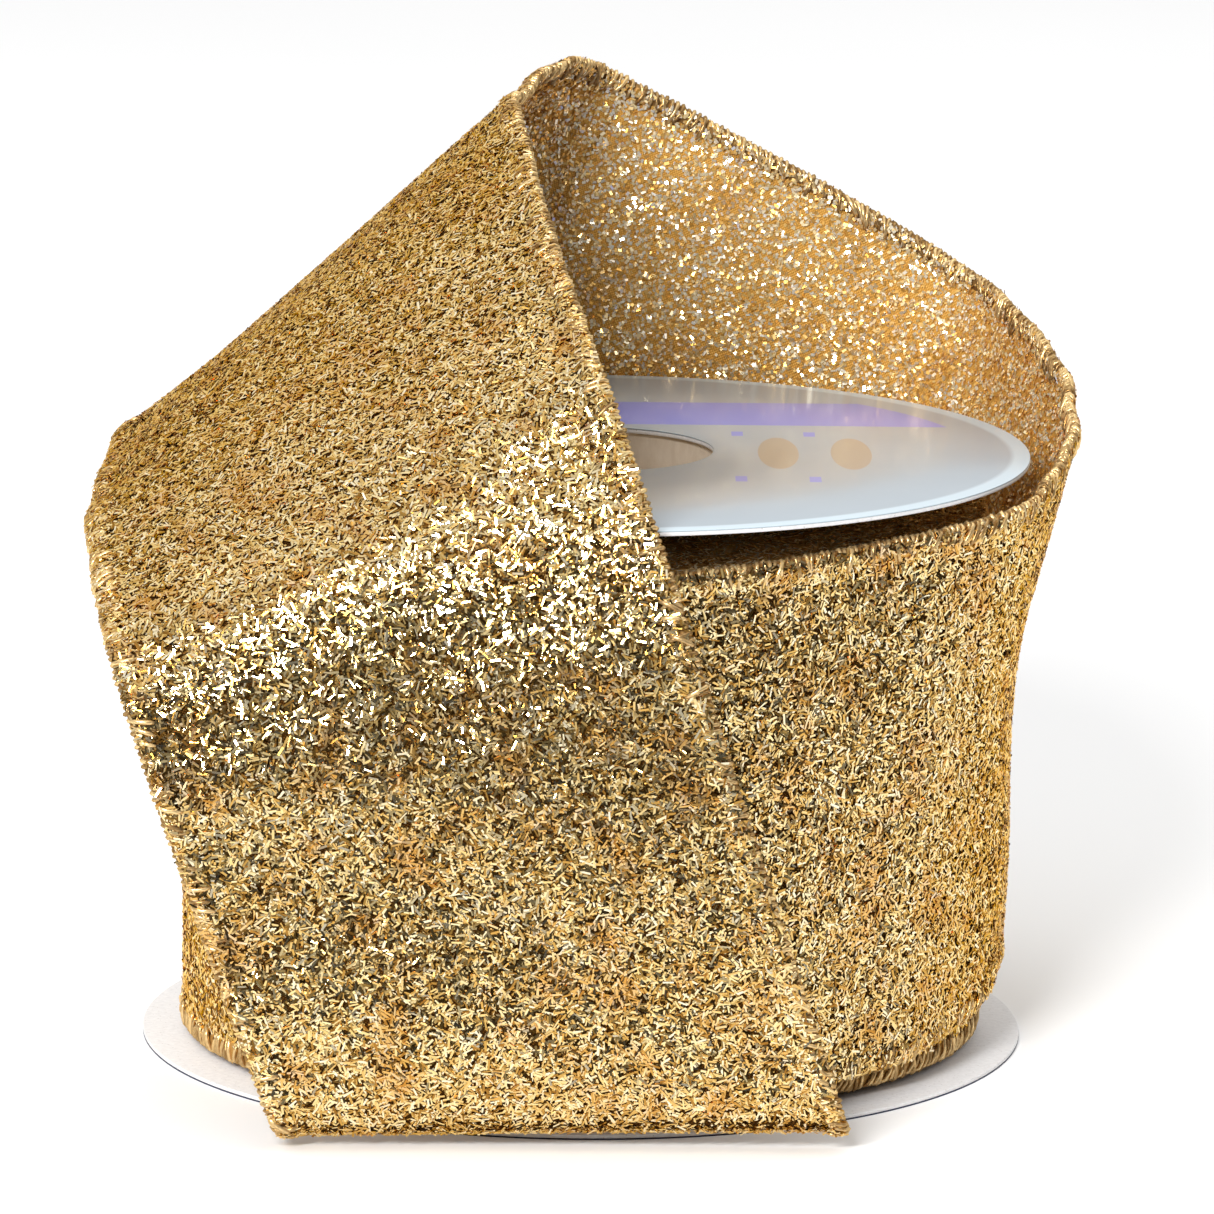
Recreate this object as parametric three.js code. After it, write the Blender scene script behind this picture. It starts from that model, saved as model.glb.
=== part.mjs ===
// A reel of wide metallic gift ribbon: two paperboard flanges on a paper core, the wound ribbon between them, its
// loose outer turn standing round the reel, and its tail folded down over the front.
//
// Millimetres, +Z up. The reel's axis is Z and it stands on z = 0. The front of the reel faces -Y.

import * as THREE from "three";

// ---- Driving dimensions ----

const FLANGE_RADIUS = 53;
const HOLE_RADIUS = 15.2;
const BOARD_THICKNESS = 0.5;
const LABEL_THICKNESS = 0.15;
const FLANGE_GAP = 69.85;

const CORE_INNER = 16;
const CORE_OUTER = 18.2;
const CLEARANCE = 0.3;
const TAPE_THICKNESS = 0.3;
const TAPE_WIDTH = 19;
const TAPE_DEGREES = 50;

const RIBBON_WIDTH = 63.5;
const CLOTH_THICKNESS = 1.0;
const EDGE_WIDTH = 2.6;
const BINDING_THICKNESS = 1.6;
const BINDING_WALL = 0.3;
const WIRE_RADIUS = 0.2;

const PACK_RADIUS = 48.2;
const PACK_BOTTOM = 1.55;

const ROUND_SEGMENTS = 64;
const WIRE_SIDES = 6;
const LOOSE_STEPS = 46;
const TAIL_STEPS = 22;

// ---- Levels worked out from them ----

const BOTTOM_BOARD_UNDERSIDE = LABEL_THICKNESS;
const GAP_FLOOR = BOTTOM_BOARD_UNDERSIDE + BOARD_THICKNESS;
const GAP_CEILING = GAP_FLOOR + FLANGE_GAP;
const TOP_BOARD_TOP = GAP_CEILING + BOARD_THICKNESS;
const PACK_TOP = PACK_BOTTOM + RIBBON_WIDTH;
const PACK_INNER = CORE_OUTER + 2 * CLEARANCE + TAPE_THICKNESS;
const WRAP_RADIUS = PACK_RADIUS + 2 * CLEARANCE + BINDING_THICKNESS / 2;

// ---- Route of the loose turn and the tail ----

// A point at a radius and an azimuth in degrees, counted from +X towards +Y.
function polar(radius, azimuth, height) {
  const angle = THREE.MathUtils.degToRad(azimuth);
  return [radius * Math.cos(angle), radius * Math.sin(angle), height];
}

// A straight line across the ribbon where it still lies on the wound pack.
function onPack(azimuth, top, bottom) {
  return [polar(WRAP_RADIUS, azimuth, top), polar(WRAP_RADIUS, azimuth, bottom)];
}

// Straight lines across the ribbon, each from its upper edge to its lower edge. The cloth bends about such lines
// and never stretches, so across the fold they lean along the fold.
const RULINGS = [
  // snug on the pack, across the front
  onPack(-108, 65.05, 1.55),
  onPack(-94, 65.25, 1.85),
  onPack(-80, 65.55, 2.25),
  onPack(-64, 66.35, 3.05),
  // out between the flanges and past their rims, on the right
  [[34, -37, 67.25], [35.1, -35.1, 3.95]],
  [[42.5, -32, 68.15], [40, -29.3, 4.85]],
  [[51, -24, 69.35], [46.9, -16.1, 6.55]],
  [[55.6, -12.5, 71.45], [49.5, -3.2, 8.95]],
  [[58.5, 9, 75.35], [48.6, 10.2, 12.55]],
  // round the back, climbing
  [[56, 33, 80.35], [45.5, 26.5, 17.35]],
  [[45.9, 54.5, 86.15], [33.5, 42, 24.05]],
  [[27.2, 59.2, 96.35], [8.5, 54.2, 35.65]],
  [[6, 57.5, 107.55], [-27.8, 51.2, 54.15]],
  [[-2, 47.5, 111.85], [-46, 35.5, 66.85]],
  // the fold, from the peak down to the left
  [[-8, 25, 110.55], [-55.2, 11.5, 70.65]],
  [[-7.6, 1.8, 108.95], [-58, -14.5, 67.75]],
  // down over the front rim
  [[-3.6, -25.1, 99.65], [-56.5, -40.2, 62.95]],
  [[3.3, -47.4, 84.65], [-53.4, -56.2, 55.45]],
  [[11.2, -58, 62.85], [-48.8, -59.5, 42.05]],
  [[20.2, -59, 35.05], [-42.5, -59.5, 23.25]],
  // the cut end, rolled a little under
  [[29.8, -58.8, 5.95], [-35.8, -59.4, 4.55]],
  [[30.7, -55.6, 2.95], [-34.4, -55.6, 1.45]],
];
const FOLD_RULING = 14;
const FOLD_GAP = 0.017;

const upperEdge = new THREE.CatmullRomCurve3(
  RULINGS.map(([upper]) => new THREE.Vector3(...upper)),
  false,
  "catmullrom",
);
const lowerEdge = new THREE.CatmullRomCurve3(
  RULINGS.map(([, lower]) => new THREE.Vector3(...lower)),
  false,
  "catmullrom",
);

// The ribbon's frame at a ruling number: a point on its lower edge, the way across, and the way it faces.
function stripFrame(ruling) {
  const last = RULINGS.length - 1;
  const middle = (number) => {
    const share = THREE.MathUtils.clamp(number / last, 0, 1);
    return upperEdge.getPoint(share).add(lowerEdge.getPoint(share));
  };
  const origin = lowerEdge.getPoint(ruling / last);
  const across = upperEdge.getPoint(ruling / last).sub(origin);
  const length = across.length();
  across.normalize();
  const along = middle(ruling + 0.05).sub(middle(ruling - 0.05));
  const facing = along.cross(across).normalize();
  return { origin, across, facing, length };
}

// ---- Solids ----

// A solid swept along the ribbon. outline(length) gives its section as [across, out] points, counter-clockwise.
function alongRibbon(outline, from, to, steps) {
  const positions = [];
  for (let step = 0; step <= steps; step += 1) {
    const frame = stripFrame(from + ((to - from) * step) / steps);
    for (const [across, out] of outline(frame.length)) {
      const point = frame.origin.clone();
      point.addScaledVector(frame.across, across).addScaledVector(frame.facing, out);
      positions.push(point.x, point.y, point.z);
    }
  }
  const section = outline(RIBBON_WIDTH).map(([across, out]) => new THREE.Vector2(across, out));
  const sides = section.length;
  const index = [];
  for (let step = 0; step < steps; step += 1) {
    for (let side = 0; side < sides; side += 1) {
      const a = step * sides + side;
      const b = step * sides + ((side + 1) % sides);
      index.push(a, b, b + sides, a, b + sides, a + sides);
    }
  }
  for (const [a, b, c] of THREE.ShapeUtils.triangulateShape(section, [])) {
    index.push(a, c, b);
    index.push(a + steps * sides, b + steps * sides, c + steps * sides);
  }
  const geometry = new THREE.BufferGeometry();
  geometry.setAttribute("position", new THREE.Float32BufferAttribute(positions, 3));
  geometry.setIndex(index);
  return geometry;
}

// A flat-ended round ring about the reel's axis.
function ring(inner, outer, bottom, top) {
  const profile = [
    new THREE.Vector2(inner, bottom),
    new THREE.Vector2(outer, bottom),
    new THREE.Vector2(outer, top),
    new THREE.Vector2(inner, top),
    new THREE.Vector2(inner, bottom),
  ];
  return new THREE.LatheGeometry(profile, ROUND_SEGMENTS).rotateX(Math.PI / 2);
}

// A curved patch standing on a circle about the reel's axis.
function curvedPatch(radius, thickness, degrees, bottom, height) {
  const half = THREE.MathUtils.degToRad(degrees / 2);
  const shape = new THREE.Shape();
  shape.absarc(0, 0, radius + thickness, -half, half, false);
  shape.absarc(0, 0, radius, half, -half, true);
  shape.closePath();
  const settings = { depth: height, bevelEnabled: false, curveSegments: 8 };
  return new THREE.ExtrudeGeometry(shape, settings).translate(0, 0, bottom);
}

// ---- Sections of the ribbon ----

// The cloth between the two bound edges.
function clothSection(length) {
  const margin = EDGE_WIDTH + CLEARANCE;
  const half = CLOTH_THICKNESS / 2;
  return [[margin, -half], [length - margin, -half], [length - margin, half], [margin, half]];
}

// The overlocked thread: a channel round the wire, open towards the cloth.
function lowerBindingSection() {
  const half = BINDING_THICKNESS / 2;
  const slot = half - BINDING_WALL;
  return [
    [0, -half],
    [EDGE_WIDTH, -half],
    [EDGE_WIDTH, -slot],
    [BINDING_WALL, -slot],
    [BINDING_WALL, slot],
    [EDGE_WIDTH, slot],
    [EDGE_WIDTH, half],
    [0, half],
  ];
}

// The edge wire, round, in the middle of its channel.
function lowerWireSection() {
  const centre = BINDING_WALL + CLEARANCE + WIRE_RADIUS;
  return Array.from({ length: WIRE_SIDES }, (_, side) => {
    const angle = (2 * Math.PI * side) / WIRE_SIDES;
    return [centre + WIRE_RADIUS * Math.cos(angle), WIRE_RADIUS * Math.sin(angle)];
  });
}

// The same section at the ribbon's upper edge.
function atUpperEdge(section) {
  return (length) => section().map(([across, out]) => [length - across, out]).reverse();
}

// ---- Materials ----

function material(color, roughness, metalness) {
  return new THREE.MeshStandardMaterial({ color, roughness, metalness });
}

const greyboard = material(0xb9b2ac, 0.85, 0);
const printedPaper = material(0xbfd0dc, 0.35, 0);
const darkPrint = material(0x2c355c, 0.4, 0);
const kraftPaper = material(0xb08d68, 0.9, 0);
const clearTape = material(0xe6dfc8, 0.25, 0);
const goldCloth = material(0xb98f3e, 0.35, 0.9);
const goldThread = material(0x9a6f3c, 0.55, 0.4);
const softSteel = material(0xa9a9a6, 0.35, 1);

// ---- Assembly ----

const reel = new THREE.Group();

function add(name, geometry, look, parent = reel) {
  const mesh = new THREE.Mesh(geometry, look);
  mesh.name = name;
  parent.add(mesh);
}

// The spool. Board and label meet face to face, as glued paper does, and the core stands between the two boards.
const spool = new THREE.Group();
reel.add(spool);
add("bottom_flange_label", ring(HOLE_RADIUS, FLANGE_RADIUS, 0, LABEL_THICKNESS), darkPrint, spool);
add("bottom_flange_board", ring(HOLE_RADIUS, FLANGE_RADIUS, BOTTOM_BOARD_UNDERSIDE, GAP_FLOOR), greyboard, spool);
add("core_tube", ring(CORE_INNER, CORE_OUTER, GAP_FLOOR, GAP_CEILING), kraftPaper, spool);
add("top_flange_board", ring(HOLE_RADIUS, FLANGE_RADIUS, GAP_CEILING, TOP_BOARD_TOP), greyboard, spool);
add(
  "top_flange_label",
  ring(HOLE_RADIUS, FLANGE_RADIUS, TOP_BOARD_TOP, TOP_BOARD_TOP + LABEL_THICKNESS),
  printedPaper,
  spool,
);

// The wound ribbon: its cloth, and the two stacks of bound edges at its ends.
const wound = new THREE.Group();
reel.add(wound);
add(
  "start_tape",
  curvedPatch(
    CORE_OUTER + CLEARANCE,
    TAPE_THICKNESS,
    TAPE_DEGREES,
    (PACK_BOTTOM + PACK_TOP - TAPE_WIDTH) / 2,
    TAPE_WIDTH,
  ),
  clearTape,
  wound,
);
add("wound_lower_edges", ring(PACK_INNER, PACK_RADIUS, PACK_BOTTOM, PACK_BOTTOM + EDGE_WIDTH), goldThread, wound);
add(
  "wound_cloth",
  ring(PACK_INNER, PACK_RADIUS, PACK_BOTTOM + EDGE_WIDTH, PACK_TOP - EDGE_WIDTH),
  goldCloth,
  wound,
);
add("wound_upper_edges", ring(PACK_INNER, PACK_RADIUS, PACK_TOP - EDGE_WIDTH, PACK_TOP), goldThread, wound);

// The loose turn and the tail have the same five pieces each, and part at the fold.
function addStretch(prefix, from, to, steps) {
  const stretch = new THREE.Group();
  reel.add(stretch);
  const sections = {
    cloth: [clothSection, goldCloth],
    lower_binding: [lowerBindingSection, goldThread],
    upper_binding: [atUpperEdge(lowerBindingSection), goldThread],
    lower_wire: [lowerWireSection, softSteel],
    upper_wire: [atUpperEdge(lowerWireSection), softSteel],
  };
  for (const [piece, [section, look]] of Object.entries(sections)) {
    add(`${prefix}_${piece}`, alongRibbon(section, from, to, steps), look, stretch);
  }
}

addStretch("loose_turn", 0, FOLD_RULING - FOLD_GAP, LOOSE_STEPS);
addStretch("tail", FOLD_RULING + FOLD_GAP, RULINGS.length - 1, TAIL_STEPS);

export default reel;
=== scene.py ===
# %% [markdown]
# # A reel of wired gift ribbon
#
# The object is a paperboard reel wound with wide metallic ribbon. The ribbon's outer turn stands loose
# round the reel, climbs behind it, folds over and hangs down the front. Almost everything that shows is
# tinsel: tens of thousands of tiny foil flecks glued to a dark gold cloth. So this lesson spends its
# effort on three things: one route that every ribbon piece follows, flecks that are real geometry, and
# stitched edges.
#
# The model of the reel is loaded first. It fixes every size, and nothing in it is moved.

# %% Load the frame
import math
import bmesh
import bpy
import numpy as np
from mathutils import Matrix, Vector


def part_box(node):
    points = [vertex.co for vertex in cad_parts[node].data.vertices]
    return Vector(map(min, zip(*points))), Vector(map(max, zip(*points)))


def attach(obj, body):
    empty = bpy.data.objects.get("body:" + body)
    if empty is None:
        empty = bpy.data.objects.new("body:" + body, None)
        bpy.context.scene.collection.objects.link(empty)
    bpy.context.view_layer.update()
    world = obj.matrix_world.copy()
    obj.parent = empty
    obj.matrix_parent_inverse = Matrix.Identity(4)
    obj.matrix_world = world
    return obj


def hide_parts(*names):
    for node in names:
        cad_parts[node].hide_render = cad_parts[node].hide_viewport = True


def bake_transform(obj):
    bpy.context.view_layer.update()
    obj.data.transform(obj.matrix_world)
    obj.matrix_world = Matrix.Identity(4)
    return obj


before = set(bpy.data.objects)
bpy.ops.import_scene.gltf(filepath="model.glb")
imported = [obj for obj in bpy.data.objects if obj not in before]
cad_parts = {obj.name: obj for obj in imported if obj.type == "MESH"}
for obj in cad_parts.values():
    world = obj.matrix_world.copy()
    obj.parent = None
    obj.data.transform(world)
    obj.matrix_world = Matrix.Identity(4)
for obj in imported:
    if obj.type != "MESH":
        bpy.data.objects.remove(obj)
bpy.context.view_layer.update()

MM = 0.001
label_low, label_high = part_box("top_flange_label")
top_board_low, top_board_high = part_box("top_flange_board")
foot_low, foot_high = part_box("bottom_flange_label")
bottom_board_low, bottom_board_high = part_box("bottom_flange_board")
core_low, core_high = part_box("core_tube")
wound_low, wound_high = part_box("wound_cloth")

FLANGE_RADIUS = label_high.x
HOLE_RADIUS = 15.2 * MM
CORE_OUTER = core_high.x
CORE_INNER = CORE_OUTER - 2.2 * MM
print(f"flange {2000 * FLANGE_RADIUS:.0f} mm across, {1000 * label_high.z:.1f} mm tall")

# %% [markdown]
# ## The camera
#
# A product picture like this is taken from a little above with a long lens, so the flanges show as thin
# ellipses and hardly any perspective is seen. The camera comes first, because every later choice is
# judged through it. It is placed by its distance, height and three small angles, which can be read and
# changed more easily than a matrix.

# %% Camera
CAMERA_DISTANCE = 18 * FLANGE_RADIUS
CAMERA_HEIGHT = bottom_board_high.z + 4.55 * FLANGE_RADIUS
CAMERA_PITCH = math.radians(11.26)
CAMERA_YAW = math.radians(0.16)
CAMERA_ROLL = math.radians(0.58)
LENS_MM = 240.5
SENSOR_MM = 36

camera_data = bpy.data.cameras.new("camera")
camera_data.sensor_width = SENSOR_MM
camera_data.lens = LENS_MM
camera_data.clip_end = 30
camera = bpy.data.objects.new("camera", camera_data)
look_down = Matrix.Rotation(math.pi / 2 - CAMERA_PITCH, 4, "X")
turn = Matrix.Rotation(-CAMERA_YAW, 4, "Z")
lean = Matrix.Rotation(CAMERA_ROLL, 4, "Z")
place = Matrix.Translation((0, -CAMERA_DISTANCE, CAMERA_HEIGHT))
camera.matrix_world = place @ turn @ look_down @ lean
bpy.context.scene.collection.objects.link(camera)
bpy.context.scene.camera = camera

# %% [markdown]
# ## Small helpers
#
# Shader trees and geometry trees are both wired by the same helper: it adds a node, sets its options, and
# either fills or links its inputs. Meshes are built from arrays of points, which is quick for long thin
# pieces: a ribbon, a wire and a thread are all one section carried along a path, so one `swept` function
# makes them all.

# %% Node helper
def add(tree, kind, inputs=None, **options):
    """Adds a node. Each input is a value to set or a socket to link from."""
    node = tree.nodes.new(kind)
    for option, value in options.items():
        setattr(node, option, value)
    for socket, value in (inputs or {}).items():
        if isinstance(value, bpy.types.NodeSocket):
            tree.links.new(value, node.inputs[socket])
        else:
            node.inputs[socket].default_value = value
    return node


def add_socket(tree, name, direction, kind, default=None):
    socket = tree.interface.new_socket(name, in_out=direction, socket_type="NodeSocket" + kind)
    if default is not None:
        socket.default_value = default
    return socket


# %% Mesh helpers
def new_object(name, vertices, faces):
    mesh = bpy.data.meshes.new(name)
    mesh.from_pydata([tuple(v) for v in vertices], [], [tuple(f) for f in faces])
    mesh.validate()
    mesh.polygons.foreach_set("use_smooth", [True] * len(mesh.polygons))
    thing = bpy.data.objects.new(name, mesh)
    bpy.context.scene.collection.objects.link(thing)
    return thing


def swept(name, rings):
    """A closed solid from rings, an array of sections: [step, point of the section, xyz]."""
    steps, sides = rings.shape[:2]
    number = np.arange(steps * sides).reshape(steps, sides)
    here, ahead = number[:-1], number[1:]
    faces = np.stack([here, np.roll(here, -1, 1), np.roll(ahead, -1, 1), ahead], -1).reshape(-1, 4)
    caps = [list(number[0][::-1]), list(number[-1])]
    return new_object(name, rings.reshape(-1, 3), faces.tolist() + caps)


RIM_SIDES = 192


def turned(name, profile, warp=None):
    """A closed ring of revolution about the reel's axis, from a closed profile of (radius, height) points."""
    angles = np.linspace(0, 2 * np.pi, RIM_SIDES, endpoint=False)
    profile = np.array(profile)
    sides = len(profile)
    radius = profile[None, :, 0]
    x = radius * np.cos(angles)[:, None]
    y = radius * np.sin(angles)[:, None]
    z = np.broadcast_to(profile[None, :, 1], x.shape).copy()
    if warp is not None:
        z += warp(x, y)
    number = np.arange(RIM_SIDES * sides).reshape(RIM_SIDES, sides)
    ahead = np.roll(number, -1, 0)
    faces = np.stack([number, ahead, np.roll(ahead, -1, 1), np.roll(number, -1, 1)], -1)
    points = np.stack([x, y, z], -1)
    return new_object(name, points.reshape(-1, 3), faces.reshape(-1, 4).tolist())


def open_sheet(grid, flipped=False):
    """A single layer of faces from a grid of points, for flecks to grow on."""
    number = np.arange(grid.shape[0] * grid.shape[1]).reshape(grid.shape[:2])
    corners = [number[:-1, :-1], number[:-1, 1:], number[1:, 1:], number[1:, :-1]]
    if flipped:
        corners = corners[::-1]
    faces = np.stack(corners, -1).reshape(-1, 4)
    return new_object("helper", grid.reshape(-1, 3), faces.tolist())


def face_outwards(thing):
    """Turns every face of a closed piece outwards."""
    shell = bmesh.new()
    shell.from_mesh(thing.data)
    bmesh.ops.recalc_face_normals(shell, faces=shell.faces)
    shell.to_mesh(thing.data)
    shell.free()


def triangles(thing):
    return sum(len(p.vertices) - 2 for p in thing.data.polygons)


# %% [markdown]
# ## The ribbon's route
#
# Ribbon bends but doesn't stretch. A surface that only bends is made of straight lines, called rulings,
# so the route is a short list of rulings, each from the ribbon's upper edge to its lower edge. A smooth
# curve through the upper ends and another through the lower ends give the two edges, and every point
# between them is found by going straight across. The list is the one the reel's model uses, in
# millimetres. Building every ribbon piece from this one route is what keeps cloth, flecks, wire and
# stitches together.

# %% Rulings
WRAP_RADIUS = 49.6


def on_pack(azimuth, top, bottom):
    angle = math.radians(azimuth)
    x = WRAP_RADIUS * math.cos(angle)
    y = WRAP_RADIUS * math.sin(angle)
    return (x, y, top), (x, y, bottom)


RULINGS = [
    # snug on the pack, across the front
    on_pack(-108, 65.05, 1.55),
    on_pack(-94, 65.25, 1.85),
    on_pack(-80, 65.55, 2.25),
    on_pack(-64, 66.35, 3.05),
    # out between the flanges and past their rims, on the right
    ((34, -37, 67.25), (35.1, -35.1, 3.95)),
    ((42.5, -32, 68.15), (40, -29.3, 4.85)),
    ((51, -24, 69.35), (46.9, -16.1, 6.55)),
    ((55.6, -12.5, 71.45), (49.5, -3.2, 8.95)),
    ((58.5, 9, 75.35), (48.6, 10.2, 12.55)),
    # round the back, climbing
    ((56, 33, 80.35), (45.5, 26.5, 17.35)),
    ((45.9, 54.5, 86.15), (33.5, 42, 24.05)),
    ((27.2, 59.2, 96.35), (8.5, 54.2, 35.65)),
    ((6, 57.5, 107.55), (-27.8, 51.2, 54.15)),
    ((-2, 47.5, 111.85), (-46, 35.5, 66.85)),
    # the fold, from the peak down to the left
    ((-8, 25, 110.55), (-55.2, 11.5, 70.65)),
    ((-7.6, 1.8, 108.95), (-58, -14.5, 67.75)),
    # down over the front rim
    ((-3.6, -25.1, 99.65), (-56.5, -40.2, 62.95)),
    ((3.3, -47.4, 84.65), (-53.4, -56.2, 55.45)),
    ((11.2, -58, 62.85), (-48.8, -59.5, 42.05)),
    ((20.2, -59, 35.05), (-42.5, -59.5, 23.25)),
    # the cut end, rolled a little under
    ((29.8, -58.8, 5.95), (-35.8, -59.4, 4.55)),
    ((30.7, -55.6, 2.95), (-34.4, -55.6, 1.45)),
]
UPPER = np.array([upper for upper, lower in RULINGS]) * MM
LOWER = np.array([lower for upper, lower in RULINGS]) * MM
LAST_RULING = len(RULINGS) - 1
TAIL_FROM = 12.0
RIBBON_WIDTH = 63.5 * MM
EDGE_WIDTH = 2.6 * MM


# %% The smooth route between the rulings
def through(points, numbers):
    """Catmull-Rom curve through points, at ruling numbers that needn't be whole."""
    numbers = np.clip(np.asarray(numbers, float), 0, LAST_RULING)
    padded = np.vstack([2 * points[0] - points[1], points, 2 * points[-1] - points[-2]])
    first = np.minimum(numbers.astype(int), LAST_RULING - 1)
    t = (numbers - first)[:, None]
    p0, p1, p2, p3 = (padded[first + k] for k in range(4))
    bend = 2 * p0 - 5 * p1 + 4 * p2 - p3
    twist = -p0 + 3 * p1 - 3 * p2 + p3
    return 0.5 * (2 * p1 + (p2 - p0) * t + bend * t**2 + twist * t**3)


def unit(vectors):
    return vectors / np.linalg.norm(vectors, axis=-1, keepdims=True)


def middle(numbers):
    return (through(UPPER, numbers) + through(LOWER, numbers)) / 2


def ribbon_frames(numbers):
    """Lower edge, way across, way out of the face, and length of the rulings at these numbers."""
    lower = through(LOWER, numbers)
    across = through(UPPER, numbers) - lower
    length = np.linalg.norm(across, axis=1)
    across = unit(across)
    step = 0.05
    along = middle(np.minimum(numbers + step, LAST_RULING)) - middle(np.maximum(numbers - step, 0))
    facing = unit(np.cross(along, across))
    return lower, across, facing, length


def evenly(start, end, spacing):
    """Ruling numbers from start to end, about `spacing` metres apart along the middle of the ribbon."""
    fine = np.linspace(start, end, 2000)
    line = middle(fine)
    walked = np.concatenate([[0], np.cumsum(np.linalg.norm(np.diff(line, axis=0), axis=1))])
    count = max(2, round(walked[-1] / spacing))
    return np.interp(np.linspace(0, walked[-1], count + 1), walked, fine), walked[-1]


# %% [markdown]
# Real ribbon isn't a perfect surface. Its wired edges hold small waves from being handled, and the cloth
# between them buckles a little. `ripple` is that unevenness as a distance out of the face. The waves fade
# away where the ribbon lies on the pack and towards the cut end. At the reel's right, where the free
# cloth turns round towards the back, it also sags inwards, by `SAG_DEPTH` millimetres at most.

# %% Ripple
SAG_DEPTH = 2.6
SAG_RULING = 7.2
SAG_SHARE = 0.56


def ripple(numbers, share):
    """Unevenness in metres, at ruling numbers, for a share across the ribbon from 0 to 1."""
    free = np.clip((numbers - 5) / 3, 0, 1) * np.clip((LAST_RULING - numbers) / 2, 0, 1)
    swell = 0.34 * np.sin(2.9 * numbers + 4 * share) + 0.22 * np.sin(5.3 * numbers - 7 * share + 1)
    at_edge = 0.3 * np.sin(9.7 * numbers + 2) * np.abs(2 * share - 1) ** 3
    sag = SAG_DEPTH * np.exp(-(((numbers - SAG_RULING) / 1.3) ** 2) - ((share - SAG_SHARE) / 0.24) ** 2)
    return ((swell + at_edge) * free - sag) * MM


def on_ribbon(numbers, outline):
    """Sections along the ribbon. outline is [across, out] points, across given as (share, extra metres)."""
    lower, across, facing, length = ribbon_frames(numbers)
    rings = []
    for share, extra, out in outline:
        place_across = share * length + extra
        lift = out + ripple(numbers, np.clip(place_across / length, 0, 1))
        rings.append(lower + across * place_across[:, None] + facing * lift[:, None])
    return np.stack(rings, 1)


# %% [markdown]
# ## Materials
#
# The look depends on four finishes: foil flecks, the gold cloth under them, the sewing thread at the
# edges, and the papers of the reel. Fibres and specks are needed in all the papers, so they are a node
# group, built once, that puts out specks, clouds and a height and is placed in each material with its own
# scale.

# %% Fibre group
def fibre_group():
    tree = bpy.data.node_groups.new("Paper fibre", "ShaderNodeTree")
    add_socket(tree, "Scale", "INPUT", "Float", 900.0)
    add_socket(tree, "Stretch", "INPUT", "Vector", (1, 1, 1))
    add_socket(tree, "Fleck", "OUTPUT", "Float")
    add_socket(tree, "Cloud", "OUTPUT", "Float")
    add_socket(tree, "Height", "OUTPUT", "Float")
    given = add(tree, "NodeGroupInput")
    result = add(tree, "NodeGroupOutput")
    where = add(tree, "ShaderNodeTexCoord").outputs["Object"]
    stretch = given.outputs["Stretch"]
    stretched = add(tree, "ShaderNodeVectorMath", {0: where, 1: stretch}, operation="MULTIPLY")
    place_in = {"Vector": stretched.outputs[0], "Scale": given.outputs["Scale"]}
    fine = add(tree, "ShaderNodeTexNoise", {**place_in, "Detail": 6, "Roughness": 0.7})
    low = add(tree, "ShaderNodeMath", {0: given.outputs["Scale"], 1: 0.06}, operation="MULTIPLY")
    cloud = add(tree, "ShaderNodeTexNoise", {"Vector": where, "Scale": low.outputs[0], "Detail": 3})
    cells = add(tree, "ShaderNodeTexVoronoi", {**place_in, "Randomness": 1.0})
    distance = cells.outputs["Distance"]
    fleck = add(tree, "ShaderNodeMapRange", {"Value": distance, "From Min": 0.05, "From Max": 0.16})
    inverse = add(tree, "ShaderNodeMath", {0: 1.0, 1: fleck.outputs[0]}, operation="SUBTRACT")
    tree.links.new(inverse.outputs[0], result.inputs["Fleck"])
    tree.links.new(cloud.outputs["Fac"], result.inputs["Cloud"])
    tree.links.new(fine.outputs["Fac"], result.inputs["Height"])
    return tree


FIBRE = fibre_group()


def new_material(name):
    material = bpy.data.materials.new(name)
    material.use_nodes = True
    tree = material.node_tree
    return material, tree, tree.nodes["Principled BSDF"]


def ramp(tree, factor, stops):
    node = add(tree, "ShaderNodeValToRGB", {"Fac": factor})
    elements = node.color_ramp.elements
    while len(elements) < len(stops):
        elements.new(0.5)
    for element, (position, colour) in zip(elements, stops):
        element.position = position
        element.color = (*colour, 1)
    return node.outputs["Color"]


def mix_colour(tree, factor, first, second):
    node = add(tree, "ShaderNodeMix", {"Factor": factor, "A": first, "B": second}, data_type="RGBA")
    return node.outputs["Result"]


def add_bump(tree, shader, height, strength, distance):
    bump = add(tree, "ShaderNodeBump", {"Height": height, "Strength": strength, "Distance": distance})
    tree.links.new(bump.outputs[0], shader.inputs["Normal"])
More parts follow.
